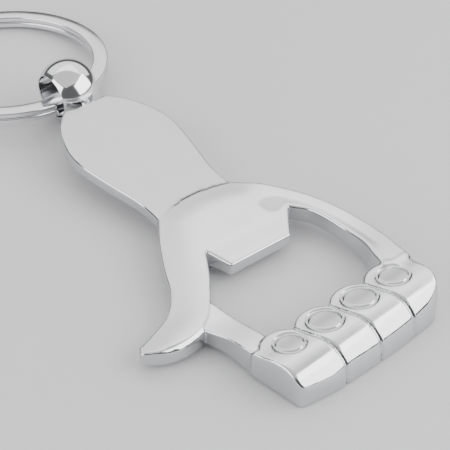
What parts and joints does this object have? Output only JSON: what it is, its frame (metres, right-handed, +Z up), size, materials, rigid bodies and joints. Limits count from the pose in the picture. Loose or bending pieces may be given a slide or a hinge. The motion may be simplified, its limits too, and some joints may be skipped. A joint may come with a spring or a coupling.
{
  "type": "keychain bottle opener",
  "caption": "Thumbs-up hand bottle opener in plated zinc with a cap lip inside the hand, finger knuckles, a swivel ball and a flat split key ring.",
  "frame": {"origin": "middle of the footprint of the whole object lying at rest, on the surface it lies on", "axes": "+Y from the fist along the forearm to the key ring, +Z up, the thumb points to -X"},
  "size_m": [0.0444, 0.1116, 0.0105],
  "materials": {
    "body_plating": "satin nickel plate on the flat faces, mirror chrome on the edges and the fingers",
    "ball_plating": "mirror chrome",
    "rivet_steel": "plain bright steel",
    "ring_plating": "bright nickel plate"
  },
  "bodies": {
    "opener": {"opener_body": "body_plating", "swivel_rivet": "rivet_steel"},
    "ball": {"swivel_ball": "ball_plating"},
    "ring": {"split_ring": "ring_plating"}
  },
  "joints": [
    {"name": "ball_swivel", "type": "hinge", "parent": "opener", "child": "ball", "pos_m": [0.00522, 0.02245, 0.00525], "axis": [0, 0.9986, 0.053], "continuous": true},
    {"name": "ring_swing", "type": "hinge", "parent": "ball", "child": "ring", "pos_m": [0.00522, 0.02175, 0.00375], "axis": [0.9863, 0.1562, -0.0523], "range_deg": [-135, 135]}
  ]
}
